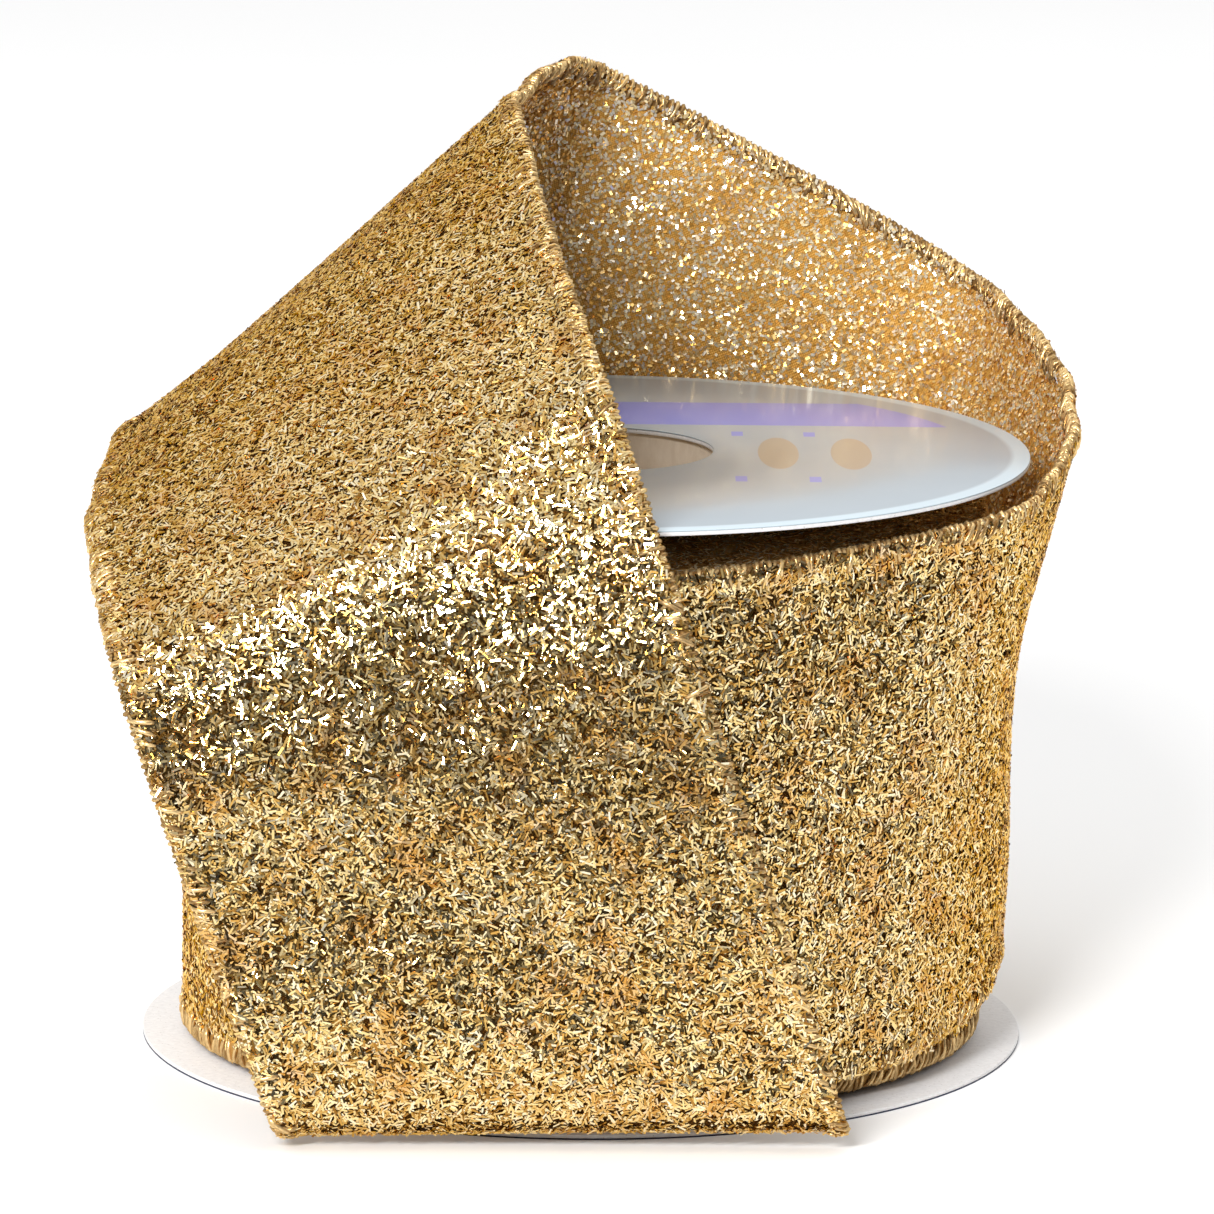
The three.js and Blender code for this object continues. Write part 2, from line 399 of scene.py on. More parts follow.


# %% [markdown]
# **Foil flecks.** Each fleck is a scrap of metallised film, so it is a metal with a warm base colour.
# Neighbouring flecks differ: some are pale, some deep orange. A noise in space also mixes in deeper
# orange patches; on the ribbon's back these are painted shade. Every fleck carries a random number called
# `shade`, stored when it is scattered, and the material turns that number into colour and gloss. That
# keeps one colour over a whole fleck, which a texture in space couldn't do.

# %% Foil
def foil(name, stops, patch_colour, sharp, dull, metallic=1.0, patches=190):
    material, tree, shader = new_material(name)
    shade = add(tree, "ShaderNodeAttribute", attribute_name="shade").outputs["Fac"]
    where = add(tree, "ShaderNodeTexCoord").outputs["Object"]
    # Noise in space mixes in deeper orange patches. On the face they are a random tone. On the back, where
    # they are larger, they are painted shade for the patchy shade on the ribbon's inside.
    clouds = add(tree, "ShaderNodeTexNoise", {"Vector": where, "Scale": patches, "Detail": 3}).outputs["Fac"]
    patch = add(tree, "ShaderNodeMapRange", {"Value": clouds, "From Min": 0.51, "From Max": 0.7})
    some = add(tree, "ShaderNodeMath", {0: patch.outputs[0], 1: 0.6}, operation="MULTIPLY")
    colour = mix_colour(tree, some.outputs[0], ramp(tree, shade, stops), (*patch_colour, 1))
    tree.links.new(colour, shader.inputs["Base Color"])
    scrambled = add(tree, "ShaderNodeMath", {0: shade, 1: 17.31}, operation="MULTIPLY")
    second = add(tree, "ShaderNodeMath", {0: scrambled.outputs[0]}, operation="FRACT")
    gloss = add(tree, "ShaderNodeMapRange", {"Value": second.outputs[0], "To Min": sharp, "To Max": dull})
    tree.links.new(gloss.outputs[0], shader.inputs["Roughness"])
    shader.inputs["Metallic"].default_value = metallic
    shader.inputs["Specular Tint"].default_value = (1, 0.74, 0.36, 1)
    return material


FACE_STOPS = [
    (0.0, (0.26, 0.115, 0.018)),
    (0.22, (0.62, 0.365, 0.09)),
    (0.5, (0.87, 0.625, 0.25)),
    (0.8, (0.96, 0.77, 0.41)),
    (1.0, (1.0, 0.89, 0.64)),
]
# The ribbon's back is duller than its face, so its foil is paler and less metallic. The paleness is also
# partly painted light: it stands in for light shining through the thin ribbon onto its inside.
BACK_STOPS_PAINTED_LIGHT = [
    (0.0, (0.74, 0.38, 0.07)),
    (0.3, (0.92, 0.62, 0.22)),
    (0.6, (1.0, 0.83, 0.5)),
    (1.0, (1.0, 0.96, 0.84)),
]
FOIL_FACE = foil("foil_face", FACE_STOPS, (0.62, 0.28, 0.05), 0.08, 0.22)
FOIL_BACK_PAINTED_LIGHT = foil("foil_back_painted_light", BACK_STOPS_PAINTED_LIGHT, (0.68, 0.31, 0.035), 0.14, 0.36, 0.6, 70)


# %% [markdown]
# **Cloth.** Under the flecks lies a close plain weave of dark gold yarn. Only slivers of it show, and
# they should look like shade between the flecks, so it is darker and duller than the foil. The weave
# follows the ribbon, so it reads the ribbon's own UV map, whose unit is one metre. The wound pack has no
# such map, so there the cloth is one plain colour.

# %% Woven ground
def woven(name, dark, light, yarn, metallic):
    material, tree, shader = new_material(name)
    place_on = add(tree, "ShaderNodeUVMap", uv_map="ribbon").outputs["UV"]
    parts = add(tree, "ShaderNodeSeparateXYZ", {"Vector": place_on})
    count = 2 * math.pi / yarn
    waves = []
    for axis in ("X", "Y"):
        phase = add(tree, "ShaderNodeMath", {0: parts.outputs[axis], 1: count}, operation="MULTIPLY")
        waves.append(add(tree, "ShaderNodeMath", {0: phase.outputs[0]}, operation="SINE").outputs[0])
    crossing = add(tree, "ShaderNodeMath", {0: waves[0], 1: waves[1]}, operation="MULTIPLY")
    height = add(tree, "ShaderNodeMapRange", {"Value": crossing.outputs[0], "From Min": -1})
    grain = add(tree, "ShaderNodeTexNoise", {"Vector": place_on, "Scale": 2600, "Detail": 3})
    mixed = add(tree, "ShaderNodeMath", {0: height.outputs[0], 1: grain.outputs["Fac"]}, operation="MULTIPLY")
    tree.links.new(ramp(tree, mixed.outputs[0], [(0.1, dark), (0.6, light)]), shader.inputs["Base Color"])
    bump = add(tree, "ShaderNodeBump", {"Height": height.outputs[0], "Strength": 0.5, "Distance": 0.00012})
    tree.links.new(bump.outputs[0], shader.inputs["Normal"])
    shader.inputs["Metallic"].default_value = metallic
    shader.inputs["Roughness"].default_value = 0.5
    shader.inputs["Specular IOR Level"].default_value = 0.15
    shader.inputs["Specular Tint"].default_value = (1, 0.7, 0.3, 1)
    return material


YARN = 0.42 * MM
CLOTH_FACE = woven("gold_ground", (0.012, 0.004, 0.001), (0.14, 0.055, 0.008), YARN, 0.6)
# The back's cloth is far lighter than the face's: partly the back's own paler, duller look, partly painted
# light for light shining through the thin ribbon.
CLOTH_BACK_PAINTED_LIGHT = woven("gold_ground_back_painted_light", (0.46, 0.22, 0.035), (0.84, 0.47, 0.125), YARN, 0.2)
# The wound pack's cloth is a much lighter copy of the ribbon's cloth. This is painted light, so the pack
# shows bright in the shaded gap under the top flange.
CLOTH_WOUND_PAINTED_LIGHT = woven("gold_ground_wound_painted_light", (0.3, 0.15, 0.035), (0.72, 0.43, 0.14), YARN, 0.2)


# %% [markdown]
# **Thread.** The edges are overlocked with a brown-gold thread. Twist gives thread its look, so a fine
# noise varies both colour and height, and a little sheen stands for loose fibre ends.

# %% Thread
def thread(name, dark, light, roughness, metallic):
    material, tree, shader = new_material(name)
    shade = add(tree, "ShaderNodeAttribute", attribute_name="shade").outputs["Fac"]
    where = add(tree, "ShaderNodeTexCoord").outputs["Object"]
    twist = add(tree, "ShaderNodeTexNoise", {"Vector": where, "Scale": 2400, "Detail": 3})
    blend = add(tree, "ShaderNodeMath", {0: twist.outputs["Fac"], 1: shade}, operation="ADD")
    half = add(tree, "ShaderNodeMath", {0: blend.outputs[0], 1: 0.5}, operation="MULTIPLY")
    tree.links.new(ramp(tree, half.outputs[0], [(0.2, dark), (0.75, light)]), shader.inputs["Base Color"])
    bump = add(tree, "ShaderNodeBump", {"Height": twist.outputs["Fac"], "Strength": 0.4, "Distance": 0.0001})
    tree.links.new(bump.outputs[0], shader.inputs["Normal"])
    shader.inputs["Metallic"].default_value = metallic
    shader.inputs["Roughness"].default_value = roughness
    shader.inputs["Specular IOR Level"].default_value = 0.3
    shader.inputs["Specular Tint"].default_value = (1, 0.74, 0.36, 1)
    shader.inputs["Sheen Weight"].default_value = 0.1
    shader.inputs["Sheen Tint"].default_value = (1, 0.8, 0.5, 1)
    return material


THREAD = thread("gold_thread", (0.24, 0.12, 0.035), (0.94, 0.68, 0.33), 0.3, 0.8)
BINDING = thread("binding_ground", (0.2, 0.1, 0.03), (0.6, 0.37, 0.13), 0.45, 0.5)


# %% [markdown]
# ## Cloth
#
# The cloth could be a plane with a Solidify modifier, but a section carried along the route gives the
# same closed sheet with exact edges and a UV map in real metres for free. It is made in two lengths. The
# first rides on the loose turn. The second starts behind the fold and ends at the cut.

# %% Cloth sheets
CLOTH_HALF = 0.17 * MM
CLOTH_COLUMNS = 26
CLOTH_STEP = 1.8 * MM


def add_ribbon_uv(thing, numbers, columns):
    """UV in metres: along the ribbon, and across it."""
    _, length = evenly(numbers[0], numbers[-1], 0.001)
    along = np.linspace(0, length, len(numbers))
    across = np.concatenate([np.linspace(0, 1, columns), np.linspace(1, 0, columns)]) * RIBBON_WIDTH
    uv = np.stack(np.meshgrid(along, across, indexing="ij"), -1).reshape(-1, 2)
    corners = np.empty(len(thing.data.loops), int)
    thing.data.loops.foreach_get("vertex_index", corners)
    layer = thing.data.uv_layers.new(name="ribbon")
    layer.data.foreach_set("uv", uv[corners].ravel())


def cloth_sheet(name, start, end):
    numbers, length = evenly(start, end, CLOTH_STEP)
    inset = EDGE_WIDTH * 0.6
    shares = np.linspace(0, 1, CLOTH_COLUMNS)
    under = [(s, inset * (1 - 2 * s), -CLOTH_HALF) for s in shares]
    over = [(s, inset * (1 - 2 * s), CLOTH_HALF) for s in shares[::-1]]
    sheet = swept(name, on_ribbon(numbers, under + over))
    add_ribbon_uv(sheet, numbers, CLOTH_COLUMNS)
    sheet.data.materials.append(CLOTH_FACE)
    sheet.data.materials.append(CLOTH_BACK_PAINTED_LIGHT)
    side = np.arange(len(sheet.data.polygons)) % (2 * CLOTH_COLUMNS)
    sheet.data.polygons.foreach_set("material_index", (side < CLOTH_COLUMNS - 1).astype(int))
    print(f"{name}: {1000 * length:.0f} mm long, {triangles(sheet)} triangles")
    return sheet


loose_cloth = cloth_sheet("loose_turn_ribbon", 0, TAIL_FROM)
tail_cloth = cloth_sheet("tail_ribbon", TAIL_FROM, LAST_RULING)

# %% [markdown]
# ## Flecks
#
# A painted texture would look flat as soon as the view changes, because real flecks tilt each their own
# way and flash one by one. So they are scattered as small foil rectangles by a Geometry Nodes tree. It
# strews points over a face of the ribbon, puts a fleck on each, turns it at random in the plane, tips it
# a little out of the plane, lifts it off the cloth, and stores its `shade`. The same tree, with other
# numbers, covers the back of the ribbon and the wound pack.

# %% The end of a tree
def ended(tree, given, instances):
    """Gives each instance its `shade`, makes the instances real and sets their material."""
    seed = add(tree, "FunctionNodeIntegerMath", {0: given["Seed"], 1: 202}, operation="ADD").outputs[0]
    shade = add(tree, "FunctionNodeRandomValue", {2: 0.0, 3: 1.0, "Seed": seed}, data_type="FLOAT")
    marked = add(
        tree,
        "GeometryNodeStoreNamedAttribute",
        {"Geometry": instances.outputs[0], "Name": "shade", "Value": shade.outputs[1]},
        data_type="FLOAT",
        domain="INSTANCE",
    )
    real = add(tree, "GeometryNodeRealizeInstances", {"Geometry": marked.outputs[0]}).outputs[0]
    inputs = {"Geometry": real, "Material": given["Material"]}
    finished = add(tree, "GeometryNodeSetMaterial", inputs)
    result = add(tree, "NodeGroupOutput")
    tree.links.new(finished.outputs[0], result.inputs["Geometry"])
    return tree


# %% Tinsel tree
def tinsel_tree():
    tree = bpy.data.node_groups.new("Tinsel pile", "GeometryNodeTree")
    add_socket(tree, "Geometry", "INPUT", "Geometry")
    add_socket(tree, "Density", "INPUT", "Float", 4e6)
    add_socket(tree, "Length", "INPUT", "Float", 1.2 * MM)
    add_socket(tree, "Width", "INPUT", "Float", 0.36 * MM)
    add_socket(tree, "Tilt", "INPUT", "Float", 0.3)
    add_socket(tree, "Lift", "INPUT", "Float", 0.45 * MM)
    add_socket(tree, "Seed", "INPUT", "Int", 1)
    add_socket(tree, "Material", "INPUT", "Material")
    add_socket(tree, "Geometry", "OUTPUT", "Geometry")
    given = add(tree, "NodeGroupInput").outputs
    strewn = add(
        tree,
        "GeometryNodeDistributePointsOnFaces",
        {"Mesh": given["Geometry"], "Density": given["Density"], "Seed": given["Seed"]},
        distribute_method="RANDOM",
    )
    fleck = add(
        tree,
        "GeometryNodeMeshGrid",
        {"Size X": given["Length"], "Size Y": given["Width"], "Vertices X": 2, "Vertices Y": 2},
    )
    tip = add(tree, "ShaderNodeCombineXYZ", {"X": given["Tilt"], "Y": given["Tilt"], "Z": math.pi})
    tip_back = add(tree, "ShaderNodeVectorMath", {0: tip.outputs[0], 1: (-1, -1, -1)}, operation="MULTIPLY")
    spin = add(
        tree,
        "FunctionNodeRandomValue",
        {0: tip_back.outputs[0], 1: tip.outputs[0], "Seed": given["Seed"]},
        data_type="FLOAT_VECTOR",
    )
    spin_rotation = add(tree, "FunctionNodeEulerToRotation", {"Euler": spin.outputs[0]})
    turned_fleck = add(
        tree,
        "FunctionNodeRotateRotation",
        {"Rotation": strewn.outputs["Rotation"], "Rotate By": spin_rotation.outputs[0]},
        rotation_space="LOCAL",
    )
    index = add(tree, "GeometryNodeInputIndex").outputs[0]
    size = add(
        tree,
        "FunctionNodeRandomValue",
        {0: (0.6, 0.7, 1), 1: (1.25, 1.3, 1), "Seed": given["Seed"], "ID": index},
        data_type="FLOAT_VECTOR",
    )
    placed = add(
        tree,
        "GeometryNodeInstanceOnPoints",
        {
            "Points": strewn.outputs["Points"],
            "Instance": fleck.outputs["Mesh"],
            "Rotation": turned_fleck.outputs[0],
            "Scale": size.outputs[0],
        },
    )
    height_seed = add(tree, "FunctionNodeIntegerMath", {0: given["Seed"], 1: 101}, operation="ADD")
    height = add(
        tree,
        "FunctionNodeRandomValue",
        {2: 0.05 * MM, 3: given["Lift"], "Seed": height_seed.outputs[0]},
        data_type="FLOAT",
    )
    up = add(tree, "ShaderNodeCombineXYZ", {"Z": height.outputs[1]})
    lifted = add(
        tree,
        "GeometryNodeTranslateInstances",
        {"Instances": placed.outputs[0], "Translation": up.outputs[0], "Local Space": True},
    )
    return ended(tree, given, lifted)


TINSEL = tinsel_tree()


# %% [markdown]
# A modifier finds its inputs by identifier, not by the name shown. `grown` looks the identifiers up, runs
# the tree on a helper surface, turns the result into a plain mesh and throws the helper and its modifier
# away.

# %% Run a tree on a helper surface
def grown(name, helper, tree, values):
    modifier = helper.modifiers.new("grow", "NODES")
    modifier.node_group = tree
    for item in tree.interface.items_tree:
        if item.in_out == "INPUT" and item.name in values:
            modifier[item.identifier] = values[item.name]
    evaluated = helper.evaluated_get(bpy.context.evaluated_depsgraph_get())
    mesh = bpy.data.meshes.new_from_object(evaluated)
    mesh.name = name
    thing = bpy.data.objects.new(name, mesh)
    bpy.context.scene.collection.objects.link(thing)
    bpy.data.objects.remove(helper)
    print(f"{name}: {triangles(thing)} triangles")
    return thing


# %% [markdown]
# The helper surfaces are open sheets just over the cloth's face, or just under its back with their faces
# turned the other way. Near the edges they rise over the stitching, because tinsel lies on the stitches
# too.

# %% Face and back of the ribbon
EDGE_RISE = [(0.45, 0.2), (1.0, 0.34), (1.7, 0.34), (2.4, 0.2), (3.0, 0)]
FACE_STEP = 2.5 * MM
FACE_COLUMNS = 18


def face_sheet(start, end, out, front=True):
    numbers, _ = evenly(start, end, FACE_STEP)
    side = 1 if front else -1
    near = [(0, extra * MM, out + side * rise * MM) for extra, rise in EDGE_RISE]
    shares = np.linspace(0, 1, FACE_COLUMNS)[1:-1]
    far = [(1, -extra, lift) for _, extra, lift in near[::-1]]
    return open_sheet(on_ribbon(numbers, near + [(s, 0, out) for s in shares] + far), front)


FLECK_DENSITY = 9e6


def tinsel(name, helper, material, seed, **changes):
    values = {
        "Density": FLECK_DENSITY,
        "Length": 1.05 * MM,
        "Width": 0.22 * MM,
        "Tilt": 0.24,
        "Lift": 0.42 * MM,
        "Seed": seed,
        "Material": material,
    }
    values.update(changes)
    return grown(name, helper, TINSEL, values)


# Each face is made in two halves, so that no piece grows too large to handle.
LOOSE_SPLIT = 8
TAIL_SPLIT = 16.5


def face_tinsel(name, start, end, seed):
    return tinsel(name, face_sheet(start, end, CLOTH_HALF), FOIL_FACE, seed)


loose_face_front = face_tinsel("loose_turn_tinsel_front", 0, LOOSE_SPLIT, 11)
loose_face_rear = face_tinsel("loose_turn_tinsel_rear", LOOSE_SPLIT, TAIL_FROM, 16)
tail_face_upper = face_tinsel("tail_tinsel_upper", TAIL_FROM, TAIL_SPLIT, 12)
tail_face_lower = face_tinsel("tail_tinsel_lower", TAIL_SPLIT, LAST_RULING, 18)
back_look = {"Density": 6e6, "Tilt": 0.5, "Lift": 0.2 * MM, "Length": 0.55 * MM, "Width": 0.32 * MM}
loose_back = tinsel(
    "loose_turn_tinsel_back", face_sheet(0, TAIL_FROM, -CLOTH_HALF, False), FOIL_BACK_PAINTED_LIGHT, 13, **back_look
)
tail_back = tinsel(
    "tail_tinsel_back", face_sheet(TAIL_FROM, LAST_RULING, -CLOTH_HALF, False), FOIL_BACK_PAINTED_LIGHT, 14, **back_look
)

# %% [markdown]
# ## The wound pack
#
# About 43 turns of ribbon lie on the core. A plain cylinder would pass from the front, but the pack is a
# spiral, and its ends show every turn's bound edge. So it is made as what it is: one strip carried round
# the reel, moving out by its own thickness each turn, with a section that is thin in the cloth and thick
# at both bound edges. The last part of the outermost turn lifts to meet the start of the loose turn.

# %% Spiral
WOUND_TURNS = 43
SEGMENTS_PER_TURN = 60
START_AZIMUTH = math.radians(-108)
PACK_INNER = CORE_OUTER + 1.25 * MM
PACK_OUTER = wound_high.x - 0.35 * MM
WOUND_BOTTOM = wound_low.z - EDGE_WIDTH
WOUND_HALF = 0.15 * MM
WOUND_EDGE_HALF = 0.31 * MM


def spiral_radius(turns):
    """Radius of the cloth's middle after so many turns, for an array of turn counts."""
    plain = PACK_INNER + (PACK_OUTER - PACK_INNER) * turns / WOUND_TURNS
    lift = np.clip((turns - WOUND_TURNS + 0.1) / 0.1, 0, 1)
    return plain + (WRAP_RADIUS * MM - PACK_OUTER) * lift**2 * (3 - 2 * lift)


def on_spiral(turns, outline):
    angle = START_AZIMUTH + 2 * np.pi * (turns - WOUND_TURNS)
    outward = np.stack([np.cos(angle), np.sin(angle), np.zeros_like(angle)], -1)
    radius = spiral_radius(turns)
    rings = []
    for share, extra, out in outline:
        point = outward * (radius + out)[:, None]
        point[:, 2] = WOUND_BOTTOM + share * RIBBON_WIDTH + extra
        rings.append(point)
    return np.stack(rings, 1)


def bound_section(cloth_half, edge_half):
    """Section of the whole ribbon: thin cloth with a thick bead at each edge."""
    near = [(0, 0), (0.4 * MM, edge_half * 0.8), (1.3 * MM, edge_half), (2.2 * MM, edge_half * 0.8)]
    near += [(EDGE_WIDTH, cloth_half)]
    under = [(0, extra, -out) for extra, out in near] + [(1, -extra, -out) for extra, out in near[::-1]]
    over = [(1, -extra, out) for extra, out in near[1:]] + [(0, extra, out) for extra, out in near[::-1][:-1]]
    return under + over


wound_turns = np.linspace(0, WOUND_TURNS, WOUND_TURNS * SEGMENTS_PER_TURN + 1)
wound_ribbon = swept("wound_ribbon", on_spiral(wound_turns, bound_section(WOUND_HALF, WOUND_EDGE_HALF)))
midline = on_spiral(wound_turns, [(0.5, 0, 0)])[:, 0]

# %% Flecks on the outermost turn
outer_turn = np.linspace(WOUND_TURNS - 1.02, WOUND_TURNS, 121)
shares = np.linspace(0, 1, 20)
INSIDE_EDGE = 1.9 * MM
grid = on_spiral(outer_turn, [(s, INSIDE_EDGE * (1 - 2 * s), WOUND_HALF) for s in shares])
wound_face = tinsel(
    "wound_tinsel_face",
    open_sheet(grid, flipped=True),
    FOIL_FACE,
    15,
    Lift=0.35 * MM,
    Width=0.3 * MM,
    Density=5e6,
)

# %% Flecks on the upper end of the pack
WOUND_TOP = WOUND_BOTTOM + RIBBON_WIDTH
END_RINGS = 6
END_STEPS = 61
radii = np.linspace(PACK_INNER + 1 * MM, PACK_OUTER, END_RINGS)
angles = np.linspace(0, 2 * np.pi, END_STEPS)
grid = np.stack(
    [
        radii[None, :] * np.cos(angles)[:, None],
        radii[None, :] * np.sin(angles)[:, None],
        np.full((END_STEPS, END_RINGS), WOUND_TOP - 0.1 * MM),
    ],
    -1,
)
# The pack's upper end takes the pale, less metallic back foil. This is painted light, so it shows bright in
# the shade under the top flange.
wound_end = tinsel("wound_tinsel_end", open_sheet(grid), FOIL_BACK_PAINTED_LIGHT, 17, Lift=0.3 * MM, Density=4e6)

# %% [markdown]
# ## Bound edges
#
# Each edge of the ribbon is folded round a soft wire and sewn over with an overlock stitch. On the ribbon
# this is a small round bead with slanting threads laid side by side over it. The bead is a section
# carried along the edge. The threads are one short looped thread, repeated by Geometry Nodes at points
# along the edge. Each point carries the way along the edge and the way out of the face, and the tree
# turns the thread to match both.

# %% Stitch tree
def stitch_tree():
    tree = bpy.data.node_groups.new("Overlock stitches", "GeometryNodeTree")
    add_socket(tree, "Geometry", "INPUT", "Geometry")
    add_socket(tree, "Stitch", "INPUT", "Object")
    add_socket(tree, "Size", "INPUT", "Float", 1.0)
    add_socket(tree, "Uneven", "INPUT", "Float", 0.12)
    add_socket(tree, "Seed", "INPUT", "Int", 1)
    add_socket(tree, "Material", "INPUT", "Material")
    add_socket(tree, "Geometry", "OUTPUT", "Geometry")
    given = add(tree, "NodeGroupInput").outputs
    shape = add(tree, "GeometryNodeObjectInfo", {"Object": given["Stitch"]}, transform_space="ORIGINAL")
    along = add(tree, "GeometryNodeInputNamedAttribute", {"Name": "along"}, data_type="FLOAT_VECTOR")
    facing = add(tree, "GeometryNodeInputNamedAttribute", {"Name": "facing"}, data_type="FLOAT_VECTOR")
    lengthways = add(tree, "FunctionNodeAlignRotationToVector", {"Vector": along.outputs[0]}, axis="X")
    squared = add(
        tree,
        "FunctionNodeAlignRotationToVector",
        {"Rotation": lengthways.outputs[0], "Vector": facing.outputs[0]},
        axis="Z",
        pivot_axis="X",
    )
    wobble = add(
        tree,
        "FunctionNodeRandomValue",
        {0: (-0.14, -0.2, -0.55), 1: (0.14, 0.2, 0.55), "Seed": given["Seed"]},
        data_type="FLOAT_VECTOR",
    )
    wobble_rotation = add(tree, "FunctionNodeEulerToRotation", {"Euler": wobble.outputs[0]})
    turned_stitch = add(
        tree,
        "FunctionNodeRotateRotation",
        {"Rotation": squared.outputs[0], "Rotate By": wobble_rotation.outputs[0]},
        rotation_space="LOCAL",
    )
    least = add(tree, "ShaderNodeMath", {0: given["Size"], 1: given["Uneven"]}, operation="SUBTRACT")
    most = add(tree, "ShaderNodeMath", {0: given["Size"], 1: given["Uneven"]}, operation="ADD")
    size = add(
        tree,
        "FunctionNodeRandomValue",
        {2: least.outputs[0], 3: most.outputs[0], "Seed": given["Seed"]},
        data_type="FLOAT",
    )
    points = add(tree, "GeometryNodeMeshToPoints", {"Mesh": given["Geometry"]})
    placed = add(
        tree,
        "GeometryNodeInstanceOnPoints",
        {
            "Points": points.outputs[0],
            "Instance": shape.outputs["Geometry"],
            "Rotation": turned_stitch.outputs[0],
            "Scale": size.outputs[1],
        },
    )
    return ended(tree, given, placed)


STITCHES = stitch_tree()


# %% [markdown]
# The single stitch is a thin tube that starts in the cloth, climbs over the bead, turns round its outside
# and comes back under it, leaning forward on the way. Its local X runs along the edge, Y towards the
# outside of the ribbon and Z out of the face. It has few sides, because it is repeated hundreds of times.

# %% One stitch
STITCH_PITCH = 0.78 * MM
THREAD_RADIUS = 0.27 * MM


def one_stitch(bead_half):
    top = bead_half + THREAD_RADIUS * 0.7
    route = np.array(
        [
            (-0.5, -2.7, 0.15),
            (-0.4, -2.1, 0.8 * top / MM),
            (-0.2, -1.2, top / MM),
            (0.1, -0.35, 0.75 * top / MM),
            (0.25, -0.08, 0),
            (0.1, -0.35, -0.75 * top / MM),
            (-0.2, -1.2, -top / MM),
            (-0.4, -2.1, -0.8 * top / MM),
            (-0.5, -2.7, -0.15),
        ]
    ) * MM
    way = unit(np.gradient(route, axis=0))
    side = np.array([1.0, 0, 0])
    up = unit(np.cross(way, side))
    side = unit(np.cross(up, way))
    angles = np.linspace(0, 2 * np.pi, 5, endpoint=False)
    thickness = THREAD_RADIUS * np.array([0.6, 1, 1, 1, 1, 1, 1, 1, 0.6])[:, None, None]
    circle = np.cos(angles)[None, :, None] * side[:, None] + np.sin(angles)[None, :, None] * up[:, None]
    stitch = swept("stitch", route[:, None] + thickness * circle)
    face_outwards(stitch)
    return stitch


def stitch_points(positions, along, facing):
    """Loose points that carry the way along the edge and the way out of the face."""
    helper = new_object("helper", positions, [])
    for name, vectors in (("along", along), ("facing", facing)):
        attribute = helper.data.attributes.new(name, "FLOAT_VECTOR", "POINT")
        attribute.data.foreach_set("vector", vectors.ravel())
    return helper


def along_edge(start, end, upper):
    """Evenly spaced places on one edge of the ribbon, with the way along it and the way it faces."""
    fine = np.linspace(start, end, 3000)
    edge = through(UPPER if upper else LOWER, fine)
    walked = np.concatenate([[0], np.cumsum(np.linalg.norm(np.diff(edge, axis=0), axis=1))])
    count = int(walked[-1] / STITCH_PITCH)
    numbers = np.interp((np.arange(count) + 0.5) * STITCH_PITCH, walked, fine)
    place_at = on_ribbon(numbers, [(1 if upper else 0, 0, 0)])[:, 0]
    _, across, facing, _ = ribbon_frames(numbers)
    outward = across if upper else -across
    return place_at, np.cross(outward, facing), facing


def edge_bead(name, start, end, upper, half):
    numbers, _ = evenly(start, end, 1.6 * MM)
    share = 1 if upper else 0
    sign = -1 if upper else 1
    angles = np.linspace(0, 2 * np.pi, 10, endpoint=False)
    centre, reach = 1.15 * MM, 1.05 * MM
    outline = [(share, sign * (centre + reach * math.cos(a)), half * math.sin(a)) for a in angles * sign]
    bead = swept(name, on_ribbon(numbers, outline))
    face_outwards(bead)
    bead.data.materials.append(BINDING)
    return bead


BEAD_HALF = 0.32 * MM
stitch_shape = one_stitch(BEAD_HALF)
beads = {}
stitches = {}
for stretch, start, end, seed in (("loose_turn", 0, TAIL_FROM, 31), ("tail", TAIL_FROM, LAST_RULING, 41)):
    for place_name, upper in (("lower", False), ("upper", True)):
        name = f"{stretch}_{place_name}"
        beads[name] = edge_bead(f"{name}_bead", start, end, upper, BEAD_HALF)
        helper = stitch_points(*along_edge(start, end, upper))
        values = {"Stitch": stitch_shape, "Seed": seed + upper, "Material": THREAD}
        stitches[name] = grown(f"{name}_stitches", helper, STITCHES, values)

# %% Stitches on the outermost wound turn
flat_stitch = one_stitch(0.28 * MM)
wound_stitches = {}
stitch_count = int(2 * math.pi * PACK_OUTER / STITCH_PITCH)
stitch_turns = WOUND_TURNS - 1 + np.arange(stitch_count) / stitch_count
stitch_angle = START_AZIMUTH + 2 * np.pi * stitch_turns
outward = np.stack([np.cos(stitch_angle), np.sin(stitch_angle), 0 * stitch_angle], -1)
for place_name, share, sign in (("lower", 0, -1), ("upper", 1, 1)):
    rim = on_spiral(stitch_turns, [(share, 0, 0)])[:, 0]
    along = np.cross(np.array([0, 0, sign]), outward)
    helper = stitch_points(rim, along, outward)
    values = {"Stitch": flat_stitch, "Seed": 51 + share, "Material": THREAD}
    wound_stitches[place_name] = grown(f"wound_{place_name}_stitches", helper, STITCHES, values)
bpy.data.objects.remove(stitch_shape)
bpy.data.objects.remove(flat_stitch)

# %% [markdown]
# ## Papers of the reel
#
# The reel is board and paper. Greyboard is felted waste paper, so it has fine fibres and dark specks. The
# label is smooth coated paper with a gloss. Its print is reduced to a plain lavender band on pale blue and
# a row of two beige ovals with small lavender ticks beside them. The colour is also lighter in a thin ring
# just inside the rim. Kraft paper is brown with long fibres, and the core's spiral seam is a fine dark helix.

# %% Paper materials
def fibre_in(tree, scale, stretch=(1, 1, 1)):
    node = add(tree, "ShaderNodeGroup", node_tree=FIBRE)
    node.inputs["Scale"].default_value = scale
    node.inputs["Stretch"].default_value = stretch
    return node.outputs


